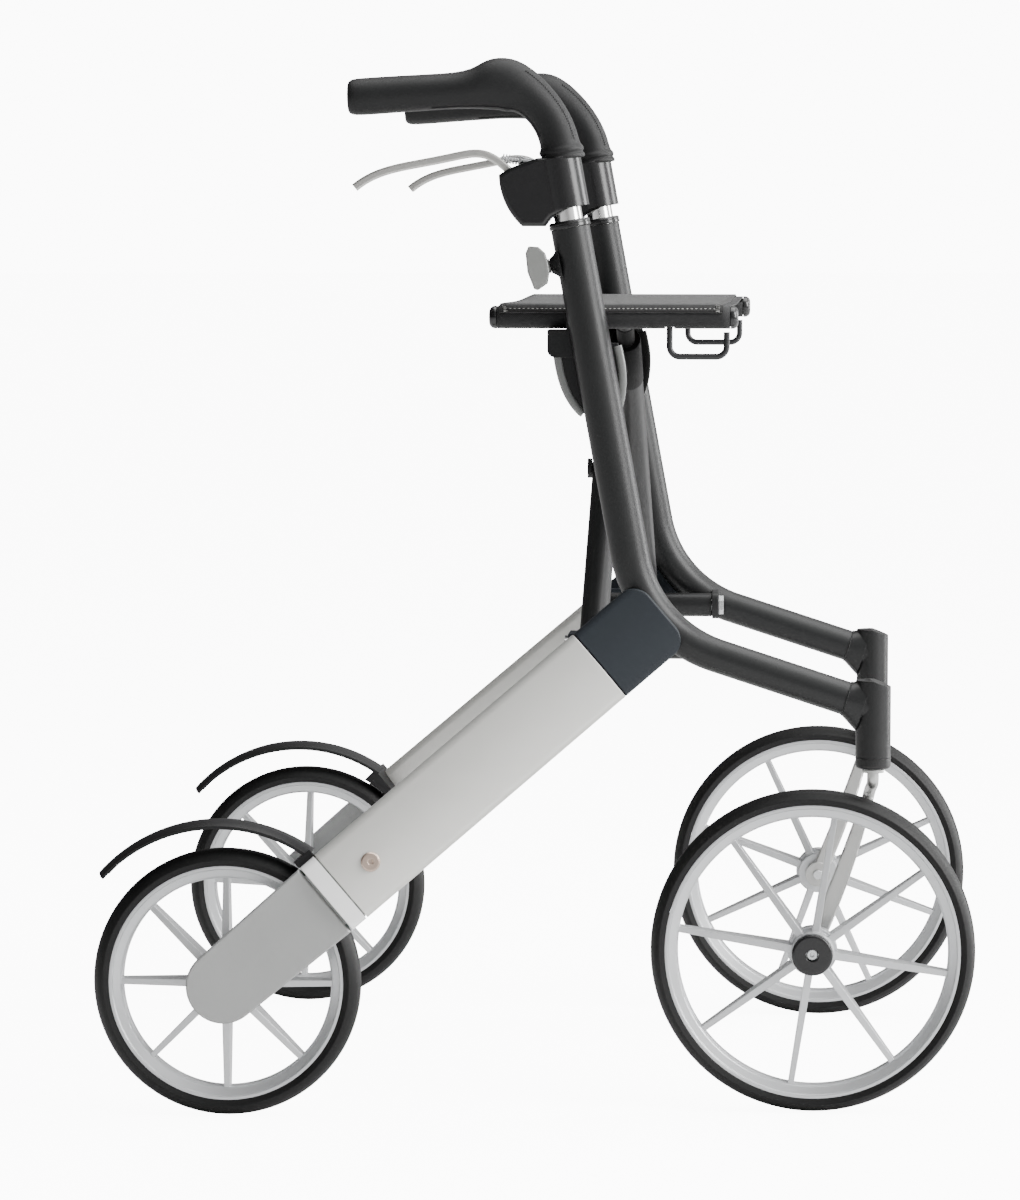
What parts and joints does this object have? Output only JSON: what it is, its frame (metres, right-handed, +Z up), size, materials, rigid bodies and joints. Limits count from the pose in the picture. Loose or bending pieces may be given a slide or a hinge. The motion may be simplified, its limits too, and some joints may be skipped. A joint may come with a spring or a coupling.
{
  "type": "rollator walker",
  "caption": "Folding rollator walker: bent tube side frames, flat beams to the rear wheels, swivelling front wheels, sling seat, brake levers.",
  "frame": {"origin": "on the ground, midway between the rearmost and foremost tyre, on the centre line", "axes": "+X forward, +Y to the user's left, +Z up, the longest extent"},
  "size_m": [0.6762, 0.6314, 0.808],
  "materials": {
    "frame_paint": "satin charcoal powder coat",
    "casting_slate": "matt slate powder coat",
    "beam_silver": "satin anodised",
    "arm_grey": "bead blasted",
    "reflector_white": "pale reflective film",
    "bolt_steel": "turned, warm tint",
    "bright_steel": "turned",
    "bearing_steel": "ground",
    "fork_silver": "satin silver",
    "rim_silver": "silver moulded",
    "tyre_black": "soft moulded",
    "black_plastic": "fine moulded texture",
    "grip_rubber": "matt soft grip",
    "brake_rubber": "moulded",
    "lever_silver": "satin silver",
    "tube_silver": "bright drawn",
    "knob_grey": "moulded grey",
    "seat_cloth": "woven nylon with pale stitching",
    "hook_wire": "dark coated wire"
  },
  "bodies": {
    "right_frame": {"frame_right": "frame_paint", "head_bearings_right": "bearing_steel", "elbow_casting_right": "casting_slate", "beam_right": "beam_silver", "beam_bolt_right": "bolt_steel", "reflector_band_right": "reflector_white", "wheel_arm_right": "arm_grey", "mudguard_right": "black_plastic", "rear_axle_right": "bright_steel", "pivot_pin_right": "bright_steel", "seat_cradle_right": "black_plastic"},
    "right_caster": {"fork_right": "fork_silver", "front_axle_right": "bright_steel"},
    "right_front_wheel": {"front_rim_right": "rim_silver", "front_tyre_right": "tyre_black", "front_bearings_right": "bearing_steel", "hub_cap_right": "black_plastic"},
    "right_rear_wheel": {"rear_rim_right": "rim_silver", "rear_tyre_right": "tyre_black", "rear_bearings_right": "bearing_steel"},
    "right_handle": {"handle_tube_right": "tube_silver", "grip_right": "grip_rubber", "brake_housing_right": "black_plastic"},
    "right_brake_lever": {"brake_lever_right": "lever_silver"},
    "right_brake_shoe": {"brake_shoe_right": "brake_rubber"},
    "right_height_knob": {"height_knob_right": "knob_grey"},
    "left_frame": {"frame_left": "frame_paint", "head_bearings_left": "bearing_steel", "elbow_casting_left": "casting_slate", "beam_left": "beam_silver", "beam_bolt_left": "bolt_steel", "reflector_band_left": "reflector_white", "wheel_arm_left": "arm_grey", "mudguard_left": "black_plastic", "rear_axle_left": "bright_steel", "pivot_pin_left": "bright_steel", "seat_cradle_left": "black_plastic"},
    "left_caster": {"fork_left": "fork_silver", "front_axle_left": "bright_steel"},
    "left_front_wheel": {"front_rim_left": "rim_silver", "front_tyre_left": "tyre_black", "front_bearings_left": "bearing_steel", "hub_cap_left": "black_plastic"},
    "left_rear_wheel": {"rear_rim_left": "rim_silver", "rear_tyre_left": "tyre_black", "rear_bearings_left": "bearing_steel"},
    "left_handle": {"handle_tube_left": "tube_silver", "grip_left": "grip_rubber", "brake_housing_left": "black_plastic"},
    "left_brake_lever": {"brake_lever_left": "lever_silver"},
    "left_brake_shoe": {"brake_shoe_left": "brake_rubber"},
    "left_height_knob": {"height_knob_left": "knob_grey"},
    "arm_front": {"scissor_arm_front": "frame_paint", "rail_knobs_right": "black_plastic", "bag_hook_right": "hook_wire"},
    "arm_rear": {"scissor_arm_rear": "frame_paint", "rail_knobs_left": "black_plastic", "bag_hook_left": "hook_wire"},
    "seat_left": {"seat_fabric_left": "seat_cloth"},
    "seat_right": {"seat_fabric_right": "seat_cloth"}
  },
  "joints": [
    {"name": "fold", "type": "hinge", "parent": "right_frame", "child": "arm_rear", "pos_m": [0.04147, -0.201, 0.35654], "axis": [1, 0, 0], "range_deg": [0, 47]},
    {"name": "fold_crossing", "type": "hinge", "parent": "arm_rear", "child": "arm_front", "pos_m": [0.06548, 0, 0.48379], "axis": [1, 0, 0], "range_deg": [-94, 0]},
    {"name": "fold_left_pivot", "type": "hinge", "parent": "arm_front", "child": "left_frame", "pos_m": [0.06548, 0.201, 0.35654], "axis": [1, 0, 0], "range_deg": [0, 47]},
    {"name": "seat_left_rail", "type": "hinge", "parent": "arm_rear", "child": "seat_left", "pos_m": [0.05727, 0.201, 0.61104], "axis": [1, 0, 0], "range_deg": [0, 30.85], "deforming": ["seat_fabric_left"]},
    {"name": "seat_centre_fold", "type": "hinge", "parent": "seat_left", "child": "seat_right", "pos_m": [0.05727, 0, 0.61916], "axis": [1, 0, 0], "range_deg": [-155.2, 0], "deforming": ["seat_fabric_right"]},
    {"name": "caster_right", "type": "hinge", "parent": "right_frame", "child": "right_caster", "pos_m": [0.25877, -0.231, 0.266], "axis": [0, 0, 1], "continuous": true},
    {"name": "front_wheel_right", "type": "hinge", "parent": "right_caster", "child": "right_front_wheel", "pos_m": [0.21318, -0.235, 0.125], "axis": [0, 1, 0], "continuous": true},
    {"name": "rear_wheel_right", "type": "hinge", "parent": "right_frame", "child": "right_rear_wheel", "pos_m": [-0.23492, -0.28, 0.10325], "axis": [0, 1, 0], "continuous": true},
    {"name": "handle_height_right", "type": "slide", "parent": "right_frame", "child": "right_handle", "axis": [-0.1805, 0, 0.9836], "range_m": [0, 0.15]},
    {"name": "brake_lever_right", "type": "hinge", "parent": "right_handle", "child": "right_brake_lever", "pos_m": [-0.01559, -0.231, 0.71617], "axis": [0, 1, 0], "range_deg": [-12, 18], "stiffness_Nm_per_rad": 1.5},
    {"name": "brake_shoe_right", "type": "slide", "parent": "right_frame", "child": "right_brake_shoe", "axis": [-0.7494, -0.1685, -0.6404], "range_m": [-0.0018, 0.0025]},
    {"name": "height_knob_right", "type": "hinge", "parent": "right_frame", "child": "right_height_knob", "pos_m": [0.00552, -0.231, 0.65009], "axis": [-0.9836, 0, -0.1805], "continuous": true},
    {"name": "caster_left", "type": "hinge", "parent": "left_frame", "child": "left_caster", "pos_m": [0.25877, 0.231, 0.266], "axis": [0, 0, 1], "continuous": true},
    {"name": "front_wheel_left", "type": "hinge", "parent": "left_caster", "child": "left_front_wheel", "pos_m": [0.21318, 0.235, 0.125], "axis": [0, 1, 0], "continuous": true},
    {"name": "rear_wheel_left", "type": "hinge", "parent": "left_frame", "child": "left_rear_wheel", "pos_m": [-0.23492, 0.28, 0.10325], "axis": [0, 1, 0], "continuous": true},
    {"name": "handle_height_left", "type": "slide", "parent": "left_frame", "child": "left_handle", "axis": [-0.1805, 0, 0.9836], "range_m": [0, 0.15]},
    {"name": "brake_lever_left", "type": "hinge", "parent": "left_handle", "child": "left_brake_lever", "pos_m": [-0.01559, 0.231, 0.71617], "axis": [0, 1, 0], "range_deg": [-12, 18], "stiffness_Nm_per_rad": 1.5},
    {"name": "brake_shoe_left", "type": "slide", "parent": "left_frame", "child": "left_brake_shoe", "axis": [-0.7494, 0.1685, -0.6404], "range_m": [-0.0018, 0.0025]},
    {"name": "height_knob_left", "type": "hinge", "parent": "left_frame", "child": "left_height_knob", "pos_m": [0.00552, 0.231, 0.65009], "axis": [-0.9836, 0, -0.1805], "continuous": true}
  ],
  "couplings": [
    {"joint": "fold_crossing", "follows": "fold", "ratio": -2},
    {"joint": "fold_left_pivot", "follows": "fold", "ratio": 1},
    {"joint": "seat_left_rail", "follows": "fold", "ratio": 0.6458},
    {"joint": "seat_centre_fold", "follows": "fold", "ratio": -3.2915},
    {"joint": "brake_shoe_right", "follows": "brake_lever_right", "m_per_rad": 0.0075},
    {"joint": "brake_shoe_left", "follows": "brake_lever_left", "m_per_rad": 0.0075}
  ]
}
